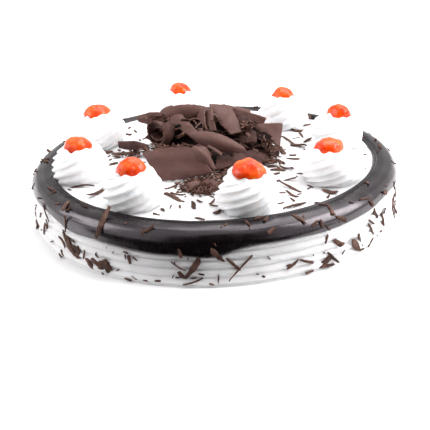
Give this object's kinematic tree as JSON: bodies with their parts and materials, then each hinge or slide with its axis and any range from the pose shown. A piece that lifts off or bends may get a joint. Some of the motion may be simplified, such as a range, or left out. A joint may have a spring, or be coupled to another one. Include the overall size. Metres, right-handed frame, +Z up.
{
  "type": "black forest cake",
  "caption": "Whole round cream cake with a combed side, a dark glazed rim, piped rosettes topped with half cherries and a heap of chocolate curls in the middle.",
  "frame": {"origin": "centre of the flat underside of the cake", "axes": "+Z up, -Y towards the front of the cake"},
  "size_m": [0.2632, 0.2632, 0.0724],
  "materials": {
    "cream": "soft satin whipped cream",
    "piped_cream": "soft satin whipped cream",
    "glaze": "glossy dark chocolate glaze",
    "cherry": "wet, slightly see-through candied fruit",
    "chocolate": "satin dark chocolate, rusty brown where broken"
  },
  "bodies": {
    "root": {"cake_body": "cream", "glaze_band": "glaze", "rosette_1": "piped_cream", "rosette_2": "piped_cream", "rosette_3": "piped_cream", "rosette_4": "piped_cream", "rosette_5": "piped_cream", "rosette_6": "piped_cream", "rosette_7": "piped_cream", "rosette_8": "piped_cream", "cherry_1": "cherry", "cherry_2": "cherry", "cherry_3": "cherry", "cherry_4": "cherry", "cherry_5": "cherry", "cherry_6": "cherry", "cherry_7": "cherry", "cherry_8": "cherry", "chocolate_heap": "chocolate"}
  },
  "joints": []
}
